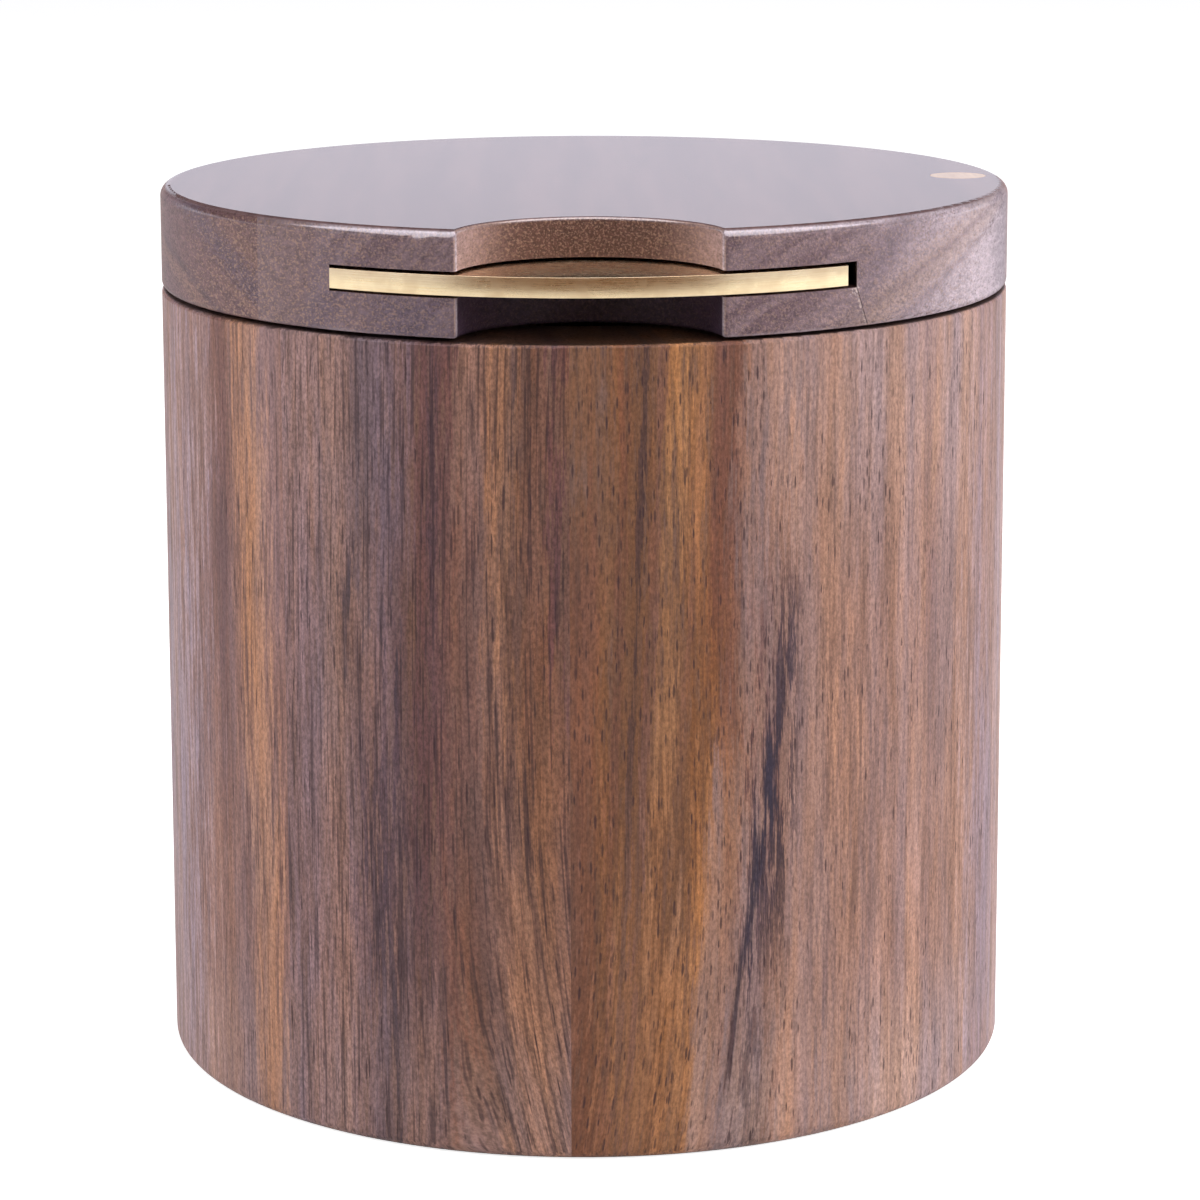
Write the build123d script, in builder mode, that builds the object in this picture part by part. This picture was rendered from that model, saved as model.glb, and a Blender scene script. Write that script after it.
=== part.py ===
from build123d import *
import os
from math import cos, radians, sin

# A round salt box, turned from a block of glued boards, with a flat lid that swings
# sideways on a screw set upright in the wall. The origin is the centre of the base, +Z is
# up, and the brass tab in the lid's edge faces -Y.

os.makedirs("parts", exist_ok=True)

# Driving dimensions, in millimetres and degrees.

outer_radius = 45.0

# The body, and the upright planes where its boards are glued.
body_height = 82.2
wall_thickness = 13.0
floor_thickness = 10.0
base_rounding = 1.2
rim_rounding = 0.4
mouth_rounding = 0.8
cavity_floor_rounding = 6.0
body_joint_planes = (-30.5, -2.05)

# The lid, as wide as the body, and the plane where its two boards are glued.
lid_gap = 0.3
lid_thickness = 10.6
lid_top_rounding = 1.1
lid_bottom_rounding = 0.6
lid_joint_planes = (-32.8,)

# The thumb scoop, a round bite through the whole thickness of the lid.
scoop_radius = 13.3
scoop_depth = 12.3
scoop_edge_rounding = 0.4

# The slot across the scoop, and the brass tab in it, which is shorter and thinner.
slot_height = 2.6
slot_left_x = -25.4
slot_right_x = 26.3
slot_depth = 20.5
tab_thickness = 2.0
tab_width = 50.6
tab_lift = 0.25
tab_edge_bevel = 0.15
tab_corner_radius = 0.5

# The pivot, on a circle near the rim, a little behind the +X axis.
pivot_radius = 40.15
pivot_angle = 2.4
plug_diameter = 6.0
plug_height = 3.0
screw_diameter = 3.0
screw_length = 10.0
screw_tip_bevel = 0.4
screw_head_diameter = 5.5
screw_head_height = 3.0
screw_head_clearance = 0.1
screw_head_rounding = 0.3
screw_socket_across_flats = 2.5
screw_socket_depth = 1.3
sleeve_diameter = 5.0
sleeve_bore = 3.1
sleeve_length = 4.1
insert_diameter = 4.6
insert_length = 6.0
insert_flange_diameter = 5.4
insert_flange_height = 0.6
washer_diameter = 7.4
washer_bore = 3.2

# The pair of magnets, opposite the pivot.
magnet_diameter = 6.0
magnet_height = 2.5
magnet_edge_bevel = 0.2

# How far a cutting shape reaches past the wood that it cuts.
saw_allowance = 5.0

# Worked out from the driving dimensions.

cavity_radius = outer_radius - wall_thickness
lid_bottom = body_height + lid_gap
lid_top = lid_bottom + lid_thickness
scoop_centre_y = scoop_depth - outer_radius - scoop_radius
slot_bottom = lid_bottom + (lid_thickness - slot_height) / 2
slot_back_y = slot_depth - outer_radius
tab_bottom = slot_bottom + tab_lift
pivot_x = pivot_radius * cos(radians(pivot_angle))
pivot_y = pivot_radius * sin(radians(pivot_angle))
sleeve_top = lid_bottom + sleeve_length
screw_head_bottom = sleeve_top + screw_head_clearance


def circles_at(some_edges, height):
    """The round edges at one height, the smallest first."""
    circles = some_edges.filter_by(GeomType.CIRCLE).filter_by_position(Axis.Z, height, height)
    return circles.sort_by(SortBy.RADIUS)


def saw_into_boards(turned, joint_planes, names):
    """Cut a turned shape at its glue planes, and write each board, from left to right."""
    reach = outer_radius + saw_allowance
    cuts = (-reach, *joint_planes, reach)
    for name, left, right in zip(names, cuts, cuts[1:]):
        with BuildPart() as board:
            add(turned)
            with Locations(((left + right) / 2, 0, lid_top / 2)):
                Box(right - left, 2 * reach, lid_top + 2 * saw_allowance, mode=Mode.INTERSECT)
        board.part.label = name
        export_step(board.part, f"parts/{name}.step")


# Body: a drum with a round cavity, bored in its rim for the pivot's insert and a magnet.

with BuildPart() as turned_body:
    with BuildSketch():
        Circle(outer_radius)
    extrude(amount=body_height)
    fillet(edges().sort_by(Axis.Z)[0], base_rounding)
    fillet(edges().sort_by(Axis.Z)[-1], rim_rounding)
    with BuildSketch(Plane.XY.offset(body_height)):
        Circle(cavity_radius)
    extrude(amount=floor_thickness - body_height, mode=Mode.SUBTRACT)
    fillet(circles_at(edges(), floor_thickness)[0], cavity_floor_rounding)
    fillet(circles_at(edges(), body_height)[0], mouth_rounding)
    with Locations((pivot_x, pivot_y, body_height)):
        insert_seat = (insert_diameter / 2, insert_flange_diameter / 2, insert_flange_height)
        CounterBoreHole(*insert_seat, insert_length)
    with Locations((-pivot_x, -pivot_y, body_height)):
        Hole(magnet_diameter / 2, magnet_height)

body_boards = ("body_board_left", "body_board_middle", "body_board_right")
saw_into_boards(turned_body.part, body_joint_planes, body_boards)

# Lid: a flat disc with the scoop in its front edge and the slot across it. It is bored
# from above for the pivot, and from below for the other magnet.

with BuildPart() as turned_lid:
    with BuildSketch(Plane.XY.offset(lid_bottom)):
        Circle(outer_radius)
    extrude(amount=lid_thickness)
    fillet(edges().sort_by(Axis.Z)[0], lid_bottom_rounding)
    fillet(edges().sort_by(Axis.Z)[-1], lid_top_rounding)
    with BuildSketch(Plane.XY.offset(lid_bottom)):
        with Locations((0, scoop_centre_y)):
            Circle(scoop_radius)
    extrude(amount=lid_thickness, mode=Mode.SUBTRACT)
    scoop_wall = faces().filter_by(GeomType.CYLINDER).sort_by(Axis.Y)[-1]
    fillet(scoop_wall.edges(), scoop_edge_rounding)
    with BuildSketch(Plane.XY.offset(slot_bottom)):
        with Locations(((slot_left_x + slot_right_x) / 2, slot_back_y)):
            slot_plan = (slot_right_x - slot_left_x, slot_depth + saw_allowance)
            Rectangle(*slot_plan, align=(Align.CENTER, Align.MAX))
    extrude(amount=slot_height, mode=Mode.SUBTRACT)
    with Locations((pivot_x, pivot_y, lid_top)):
        CounterBoreHole(sleeve_diameter / 2, plug_diameter / 2, lid_top - sleeve_top, lid_thickness)
    with Locations(Plane((-pivot_x, -pivot_y, lid_bottom), z_dir=(0, 0, -1))):
        Hole(magnet_diameter / 2, magnet_height)

saw_into_boards(turned_lid.part, lid_joint_planes, ("lid_board_left", "lid_board_right"))

# Brass tab: a plate whose front edge is turned flush with the lid. Its straight back edge
# is bonded to the back of the slot.

with BuildPart() as brass_tab:
    with BuildSketch(Plane.XY.offset(tab_bottom)):
        Circle(outer_radius)
        with Locations((0, slot_back_y)):
            Rectangle(tab_width, slot_depth, align=(Align.CENTER, Align.MAX), mode=Mode.INTERSECT)
    extrude(amount=tab_thickness)
    fillet(edges().filter_by(Axis.Z), tab_corner_radius)
    chamfer(faces().filter_by(Axis.Z).edges(), tab_edge_bevel)
brass_tab.part.label = "brass_tab"
export_step(brass_tab.part, "parts/brass_tab.step")

# Pivot plug: closes the counterbore over the screw's head, flush with the lid.

with BuildPart() as pivot_plug:
    with BuildSketch(Plane.XY.offset(lid_top)):
        with Locations((pivot_x, pivot_y)):
            Circle(plug_diameter / 2)
    extrude(amount=-plug_height)
pivot_plug.part.label = "pivot_plug"
export_step(pivot_plug.part, "parts/pivot_plug.step")

# Pivot screw: a socket head screw that stays fixed in the wall while the lid turns on it.

with BuildPart() as pivot_screw:
    with BuildSketch(Plane.XY.offset(screw_head_bottom)):
        with Locations((pivot_x, pivot_y)):
            Circle(screw_head_diameter / 2)
    extrude(amount=screw_head_height)
    fillet(edges().sort_by(Axis.Z)[-1], screw_head_rounding)
    with BuildSketch(Plane.XY.offset(screw_head_bottom + screw_head_height)):
        with Locations((pivot_x, pivot_y)):
            RegularPolygon(screw_socket_across_flats / 2, 6, major_radius=False)
    extrude(amount=-screw_socket_depth, mode=Mode.SUBTRACT)
    with BuildSketch(Plane.XY.offset(screw_head_bottom)):
        with Locations((pivot_x, pivot_y)):
            Circle(screw_diameter / 2)
    extrude(amount=-screw_length)
    chamfer(edges().sort_by(Axis.Z)[0], screw_tip_bevel)
pivot_screw.part.label = "pivot_screw"
export_step(pivot_screw.part, "parts/pivot_screw.step")

# Pivot sleeve: pressed into the lid, with a running fit on the screw.

with BuildPart() as pivot_sleeve:
    with BuildSketch(Plane.XY.offset(lid_bottom)):
        with Locations((pivot_x, pivot_y)):
            Circle(sleeve_diameter / 2)
            Circle(sleeve_bore / 2, mode=Mode.SUBTRACT)
    extrude(amount=sleeve_length)
pivot_sleeve.part.label = "pivot_sleeve"
export_step(pivot_sleeve.part, "parts/pivot_sleeve.step")

# Spacer washer: lies on the rim round the screw, and carries the lid just clear of it.

with BuildPart() as spacer_washer:
    with BuildSketch(Plane.XY.offset(body_height)):
        with Locations((pivot_x, pivot_y)):
            Circle(washer_diameter / 2)
            Circle(washer_bore / 2, mode=Mode.SUBTRACT)
    extrude(amount=lid_gap)
spacer_washer.part.label = "spacer_washer"
export_step(spacer_washer.part, "parts/spacer_washer.step")

# Threaded insert: a flanged brass bush, flush with the rim, that the screw is driven into.

with BuildPart() as threaded_insert:
    barrel = (insert_diameter, insert_length)
    flange = (insert_flange_diameter, insert_flange_height)
    for diameter, height in (barrel, flange):
        with BuildSketch(Plane.XY.offset(body_height)):
            with Locations((pivot_x, pivot_y)):
                Circle(diameter / 2)
        extrude(amount=-height)
    with Locations((pivot_x, pivot_y, body_height)):
        Hole(screw_diameter / 2)
threaded_insert.part.label = "threaded_insert"
export_step(threaded_insert.part, "parts/threaded_insert.step")

# Magnets: one in the rim and one in the lid, face to face across the gap.

magnet_bases = {"body_magnet": body_height - magnet_height, "lid_magnet": lid_bottom}
for name, base_height in magnet_bases.items():
    with BuildPart() as magnet:
        with BuildSketch(Plane.XY.offset(base_height)):
            with Locations((-pivot_x, -pivot_y)):
                Circle(magnet_diameter / 2)
        extrude(amount=magnet_height)
        chamfer(edges().filter_by(GeomType.CIRCLE), magnet_edge_bevel)
    magnet.part.label = name
    export_step(magnet.part, f"parts/{name}.step")
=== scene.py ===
import math

import bmesh
import bpy
from mathutils import Matrix, Vector


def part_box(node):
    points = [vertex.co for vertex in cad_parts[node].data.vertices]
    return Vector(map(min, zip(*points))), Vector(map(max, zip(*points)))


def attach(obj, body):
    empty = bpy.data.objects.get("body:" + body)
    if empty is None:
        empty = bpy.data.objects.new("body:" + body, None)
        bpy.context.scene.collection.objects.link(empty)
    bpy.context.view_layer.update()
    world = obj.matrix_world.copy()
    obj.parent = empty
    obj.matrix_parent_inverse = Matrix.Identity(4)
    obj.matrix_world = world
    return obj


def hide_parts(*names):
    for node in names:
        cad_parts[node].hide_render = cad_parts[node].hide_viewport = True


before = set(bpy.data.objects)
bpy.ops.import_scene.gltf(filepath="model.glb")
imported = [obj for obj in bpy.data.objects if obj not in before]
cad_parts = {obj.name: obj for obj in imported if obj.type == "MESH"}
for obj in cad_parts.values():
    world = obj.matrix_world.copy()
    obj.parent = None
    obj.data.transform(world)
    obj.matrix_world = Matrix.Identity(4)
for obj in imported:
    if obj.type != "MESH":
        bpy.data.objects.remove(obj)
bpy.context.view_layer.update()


# The body: three walnut boards glued side by side and turned to a round box with a solid floor.
# The grain stands upright. The outside is sanded fine and oiled to a soft satin, and each board
# keeps its own streaks, so the glue lines show where the figure changes.

def colour(red, green, blue):
    """A colour given as 0 to 255 display values, turned into the linear values that a shader takes."""
    linear = []
    for level in (red, green, blue):
        part = level / 255
        linear.append(part / 12.92 if part <= 0.04045 else ((part + 0.055) / 1.055) ** 2.4)
    return (*linear, 1.0)


def join(value, socket):
    """Sets a socket from a number, a colour or the output of another node."""
    if isinstance(value, bpy.types.NodeSocket):
        socket.id_data.links.new(value, socket)
    else:
        socket.default_value = value


def node(tree, kind, inputs, **settings):
    """A shader node with its settings and its inputs, which are named or numbered."""
    made = tree.nodes.new(kind)
    for name, value in settings.items():
        setattr(made, name, value)
    for name, value in inputs.items():
        join(value, made.inputs[name])
    return made


def tree_of(*values):
    """The node tree of the first of the values that is a node's output."""
    return next(value.id_data for value in values if isinstance(value, bpy.types.NodeSocket))


def maths(operation, *values):
    """The output of a Math node, in the tree that its values come from."""
    made = node(tree_of(*values), "ShaderNodeMath", dict(enumerate(values)), operation=operation)
    return made.outputs[0]


# sums and products of values that change over a surface

def plus(first, second):
    return maths("ADD", first, second)


def minus(first, second):
    return maths("SUBTRACT", first, second)


def times(first, second):
    return maths("MULTIPLY", first, second)


def times_plus(first, second, added):
    return maths("MULTIPLY_ADD", first, second, added)


def step_between(value, low, high, start=0.0, end=1.0):
    """Turns a value smoothly from start, at low, to end, at high."""
    inputs = {"Value": value, "From Min": low, "From Max": high, "To Min": start, "To Max": end}
    made = node(tree_of(value), "ShaderNodeMapRange", inputs, interpolation_type="SMOOTHSTEP")
    return made.outputs["Result"]


def blend(amount, first, second, mode="MIX"):
    """The colour output of a Mix node: the first colour at 0, the second at 1."""
    made = tree_of(amount, first, second).nodes.new("ShaderNodeMix")
    made.data_type = "RGBA"
    made.blend_type = mode
    # a Mix node has inputs for numbers and vectors too, and those for colours are 6 and 7
    join(amount, made.inputs[0])
    join(first, made.inputs[6])
    join(second, made.inputs[7])
    return made.outputs[2]


def axes_of(vector):
    """A vector's three parts, by the names X, Y and Z."""
    return node(tree_of(vector), "ShaderNodeSeparateXYZ", {0: vector}).outputs


def moved(vector, location=(0.0, 0.0, 0.0), rotation=(0.0, 0.0, 0.0), scale=(1.0, 1.0, 1.0)):
    """A pattern's coordinates after they are scaled, turned and moved."""
    inputs = {"Vector": vector, "Location": location, "Rotation": rotation, "Scale": scale}
    return node(tree_of(vector), "ShaderNodeMapping", inputs).outputs[0]


def scaled_noise(vector, scale, detail=2.0, roughness=0.5, seed=0.0):
    """Noise whose grains are 1/scale long on each axis, from 0 to 1 with its middle at 0.5."""
    place = moved(vector, location=(seed, -seed, seed), scale=scale)
    inputs = {"Vector": place, "Scale": 1.0, "Detail": detail, "Roughness": roughness}
    return node(tree_of(place), "ShaderNodeTexNoise", inputs).outputs["Fac"]


def new_group(name, inputs, outputs):
    """A shader node group. Inputs come with their defaults, and the outputs are all numbers."""
    group = bpy.data.node_groups.new(name, "ShaderNodeTree")
    for socket_name, default in inputs.items():
        kind = "NodeSocketVector" if isinstance(default, tuple) else "NodeSocketFloat"
        socket = group.interface.new_socket(socket_name, in_out="INPUT", socket_type=kind)
        socket.default_value = default
    for socket_name in outputs:
        group.interface.new_socket(socket_name, in_out="OUTPUT", socket_type="NodeSocketFloat")
    return group, group.nodes.new("NodeGroupInput").outputs, group.nodes.new("NodeGroupOutput").inputs


def use_group(group, inputs):
    """Places a node group in the material that its inputs come from, and returns its outputs."""
    return node(tree_of(*inputs.values()), "ShaderNodeGroup", inputs, node_tree=group).outputs


def new_material(name, constants):
    """A material with a Principled shader, whose constant inputs are given by name.

    Returns the material, its node tree and the shader.
    """
    material = bpy.data.materials.new(name)
    material.use_nodes = True
    tree = material.node_tree
    shader = tree.nodes["Principled BSDF"]
    for socket_name, value in constants.items():
        shader.inputs[socket_name].default_value = value
    return material, tree, shader


def dress(shader, tone, roughness, relief, strength, depth):
    """Joins a finish to its shader: its colour, its roughness, and a relief with a depth in metres."""
    join(tone, shader.inputs["Base Color"])
    join(roughness, shader.inputs["Roughness"])
    lumps = {"Height": relief, "Strength": strength, "Distance": depth}
    join(node(shader.id_data, "ShaderNodeBump", lumps).outputs[0], shader.inputs["Normal"])


def paint(node_name, material):
    """Gives a CAD node its finish."""
    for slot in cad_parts[node_name].material_slots:
        slot.material = material


# Wood in millimetres, with the grain along Z. Fibres are the fine lines of the growth, lines are
# the longer dark ones, grit is the sanded surface, bands are the slow change of tone across the
# board, and pores are short vessels cut open by the lathe. Sweep leans the grain near the foot.

SWEEP_BELOW = 40.0


def make_wood_figure():
    """The node group of the wood's figure, which every board has, each with its own values."""
    group, given, out = new_group(
        "wood_figure",
        {"Vector": (0.0, 0.0, 0.0), "Sway": 1.0, "Sweep": 0.0, "Pore Length": 4.0, "Pore Pitch": 0.5,
         "Pore Share": 0.5, "Pore Crowding": 2.4},
        ["Drift", "Fibre", "Lines", "Grit", "Bands", "Warmth", "Pores"])
    where = axes_of(given["Vector"])
    slow = scaled_noise(given["Vector"], (0.035, 0.035, 0.016), detail=1.0, seed=4.0)
    quick = scaled_noise(given["Vector"], (0.12, 0.12, 0.05), detail=1.0, seed=9.0)
    drift = minus(times_plus(quick, 0.2, slow), 0.6)
    drift = times(drift, times(given["Sway"], 4.0))
    join(drift, out["Drift"])
    below = maths("MAXIMUM", minus(SWEEP_BELOW, where["Z"]), 0.0)
    swept = times(times(below, below), given["Sweep"])
    across = plus(where["X"], plus(drift, swept))
    bent = {"X": across, "Y": where["Y"], "Z": where["Z"]}
    place = node(group, "ShaderNodeCombineXYZ", bent).outputs[0]

    def layer(name, scale, low, high, **noise):
        join(step_between(scaled_noise(place, scale, **noise), low, high), out[name])

    layer("Fibre", (1.6, 1.6, 0.1), 0.3, 0.7, detail=4.0, roughness=0.75, seed=31.0)
    layer("Lines", (2.9, 2.9, 0.07), 0.53, 0.67, detail=1.0, roughness=0.6, seed=77.0)
    layer("Grit", (3.8, 3.8, 2.0), 0.25, 0.75, roughness=0.65, seed=57.0)
    layer("Bands", (0.26, 0.26, 0.014), 0.32, 0.68, detail=3.0, roughness=0.65, seed=12.0)
    layer("Warmth", (0.3, 0.3, 0.025), 0.32, 0.68, detail=4.0, roughness=0.65, seed=66.0)
    pitch = maths("DIVIDE", 1.0, given["Pore Pitch"])
    length = maths("DIVIDE", 1.0, given["Pore Length"])
    stretch = node(group, "ShaderNodeCombineXYZ", {"X": pitch, "Y": pitch, "Z": length}).outputs[0]
    cells = node(group, "ShaderNodeVectorMath", {0: place, 1: stretch}, operation="MULTIPLY").outputs[0]
    vessels = node(group, "ShaderNodeTexVoronoi", {"Vector": cells, "Scale": 1.0, "Randomness": 1.0})
    chance = node(group, "ShaderNodeSeparateColor", {0: vessels.outputs["Color"]}).outputs
    reach = times_plus(chance[0], 0.26, 0.2)
    edge = maths("DIVIDE", vessels.outputs["Distance"], reach)
    hollow = step_between(edge, 0.55, 1.0, 1.0, 0.0)
    crowd = minus(scaled_noise(place, (0.22, 0.22, 0.06), detail=2.0, seed=90.0), 0.5)
    share = times_plus(crowd, given["Pore Crowding"], given["Pore Share"])
    kept = maths("LESS_THAN", chance[1], share)
    depth = times_plus(chance[2], 0.6, 0.4)
    join(times(times(hollow, kept), depth), out["Pores"])
    return group


wood_figure = make_wood_figure()


# One streak of another tone, in millimetres. Middle is where it meets the front face at half
# height, Slope is how far it leans, Width reaches to each side, and it runs from Bottom to Top. Fade
# is the length of its ends, Soft the share of its width that fades, and Ragged frays its sides.

HALF_HEIGHT = 41.0


def make_streak():
    """The node group that gives one streak's mask."""
    group, given, out = new_group(
        "streak",
        {"Across": 0.0, "Height": 0.0, "Fibre": 0.0, "Middle": 0.0, "Slope": 0.0, "Width": 1.0,
         "Bottom": -40.0, "Top": 140.0, "Fade": 8.0, "Ragged": 1.0, "Soft": 0.9},
        ["Mask"])
    centre = times_plus(minus(given["Height"], HALF_HEIGHT), given["Slope"], given["Middle"])
    away = maths("ABSOLUTE", minus(given["Across"], centre))
    inside = minus(1.0, maths("DIVIDE", away, given["Width"]))
    rise = minus(given["Height"], given["Bottom"])
    fall = minus(given["Top"], given["Height"])
    ends = maths("DIVIDE", maths("MINIMUM", rise, fall), given["Fade"])
    ends = maths("MINIMUM", times_plus(ends, 0.5, 0.5), 1.0)
    inside = maths("MINIMUM", inside, times(ends, given["Soft"]))
    torn = times(minus(given["Fibre"], 0.5), given["Ragged"])
    inside = plus(inside, times(torn, given["Soft"]))
    join(step_between(inside, 0.0, given["Soft"]), out["Mask"])
    return group


streak = make_streak()


def mark(tone, strength, middle, width, **place):
    """A streak's colour and strength, with its place as the streak group's inputs name it."""
    inputs = {name.title(): value for name, value in place.items()}
    return tone, strength, {"Middle": middle, "Width": width, **inputs}


def streaked(tone, streaks, across, height, fibre, shown=None):
    """Lays streaks over a colour, one after the other. Shown limits them to a part of the piece."""
    for streak_tone, strength, place in streaks:
        inputs = {"Across": across, "Height": height, "Fibre": fibre, **place}
        mask = use_group(streak, inputs)["Mask"]
        if shown is not None:
            mask = times(mask, shown)
        tone = blend(times(mask, strength), tone, streak_tone)
    return tone


BODY_RADIUS = 45.0
MILLIMETRES = (1000.0, 1000.0, 1000.0)
UMBER = colour(118, 80, 66)
OLIVE_BROWN = colour(124, 81, 49)
RED_BROWN = colour(118, 74, 58)
PLUM_BROWN = colour(100, 64, 62)
SLATE_BROWN = colour(98, 72, 76)
BLUE_BLACK = colour(48, 38, 50)
GOLDEN = colour(178, 124, 80)
GOLDEN_PALE = colour(180, 134, 108)
PALE_WOOD = colour(166, 128, 112)
# a silvery wood tone, which at the boards' outer edges is also painted sheen
SILVER_WOOD_AND_EDGE_SHEEN = colour(168, 142, 146)
# painted sheen: the pale grey laid over the top and the foot of the boards
END_SHEEN_PALE = colour(207, 185, 181)
VESSEL_DARK = colour(54, 36, 42)
COOL_GRAIN = (0.94, 1.01, 1.17, 1.0)
WARM_GRAIN = (1.11, 1.02, 0.88, 1.0)


def shade_by(tone, value, low, high):
    """Multiplies a colour by low to high as the value goes from 0 to 1."""
    level = times_plus(value, high - low, low)
    grey = node(tree_of(level), "ShaderNodeCombineColor", {0: level, 1: level, 2: level}).outputs[0]
    return blend(1.0, tone, grey, mode="MULTIPLY")


def body_wood(name, offset, figure_settings, tones, end_sheen, contrast, sweep, pore_share, streaks):
    """The oiled walnut of one body board: its own tones, then its streaks, then grain and pores.

    Sweep is two places across the board and how strongly the grain leans from the second on.
    Pore_share is two places and the share of open pores at each. Places are in millimetres.
    """
    material, tree, shader = new_material(name, {"Specular IOR Level": 0.3})
    coordinates = node(tree, "ShaderNodeTexCoord", {}).outputs
    mm = moved(coordinates["Object"], scale=MILLIMETRES)
    # how far across the board a point lies, carried back through the wood from the front face
    where = axes_of(mm)
    chord = minus(BODY_RADIUS ** 2, times(where["X"], where["X"]))
    front = maths("SQRT", maths("MAXIMUM", chord, 0.0))
    across = times_plus(plus(where["Y"], front), 0.16, where["X"])
    # the grain leans more where the board came from near a branch
    lean_from, lean_to, lean_amount = sweep
    leaning = step_between(where["X"], lean_from, lean_to, 0.0, lean_amount)
    share_from, share_to, share_left, share_right = pore_share
    share = step_between(across, share_from, share_to, share_left, share_right)
    figure = use_group(wood_figure, {
        "Vector": moved(mm, location=offset), "Sweep": leaning, "Pore Share": share, **figure_settings})
    across = plus(across, figure["Drift"])
    tone = blend(figure["Bands"], *tones)
    # painted sheen: towards both ends the boards are blended to a pale grey, which stands in for the
    # sheen seen there
    sheen_top = step_between(where["Z"], 50.0, 80.0, 0.0, end_sheen)
    sheen_foot = step_between(where["Z"], 20.0, 2.0, 0.0, end_sheen + 0.12)
    tone = blend(plus(sheen_top, sheen_foot), tone, END_SHEEN_PALE)
    tone = streaked(tone, streaks, across, where["Z"], figure["Fibre"])
    tone = blend(1.0, tone, blend(figure["Warmth"], COOL_GRAIN, WARM_GRAIN), mode="MULTIPLY")
    for part, lift in (("Bands", 1.0), ("Fibre", 0.9), ("Grit", 0.9)):
        tone = shade_by(tone, figure[part], 1.0 - contrast[part], 1.0 + lift * contrast[part])
    for part in ("Lines", "Pores"):
        tone = blend(times(figure[part], contrast[part]), tone, VESSEL_DARK)
    # cut across, on the rim and the floor, the wood soaks up more oil and is darker; the darkening is
    # also painted shade, taken deep for the rim top that lies in shadow under the lid and the tab
    upward = axes_of(coordinates["Normal"])["Z"]
    end_grain_and_shade = step_between(maths("ABSOLUTE", upward), 0.7, 0.95)
    tone = shade_by(tone, end_grain_and_shade, 1.0, 0.24)
    rough = times_plus(figure["Pores"], 0.2, times_plus(figure["Fibre"], -0.08, 0.52))
    relief = times_plus(figure["Pores"], -1.0, times(figure["Fibre"], 0.35))
    relief = times_plus(figure["Grit"], 0.3, relief)
    dress(shader, tone, rough, relief, 0.35, 0.0001)
    return material


left_streaks = [
    mark(PLUM_BROWN, 0.6, -38.1, 1.5, slope=0.01, bottom=46.0, fade=14.0, soft=0.7),
    mark(PLUM_BROWN, 0.35, -37.4, 1.1, slope=0.01, bottom=22.0, fade=10.0),
    mark(GOLDEN_PALE, 0.8, -33.3, 2.3, slope=-0.03, ragged=1.2),
    mark(GOLDEN, 0.25, -34.2, 1.0, bottom=48.0, top=68.0),
    mark(PALE_WOOD, 0.3, -36.0, 4.0, top=26.0, fade=14.0, ragged=1.4),
    # painted sheen: this pale streak at the board's outer edge stands in for the grazing sheen there
    mark(SILVER_WOOD_AND_EDGE_SHEEN, 0.85, -43.2, 4.4, top=60.0, fade=26.0, ragged=1.6)]
left_board = body_wood(
    "walnut_left_board", offset=(7.0, 3.0, 20.0),
    figure_settings={"Sway": 0.4, "Pore Length": 4.0, "Pore Pitch": 0.34},
    tones=(colour(138, 102, 94), colour(157, 119, 110)), end_sheen=0.09,
    contrast={"Bands": 0.04, "Fibre": 0.22, "Grit": 0.28, "Lines": 0.3, "Pores": 0.7},
    sweep=(0.0, 1.0, 0.0), pore_share=(-40.0, -34.0, 0.1, 0.6), streaks=left_streaks)
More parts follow.
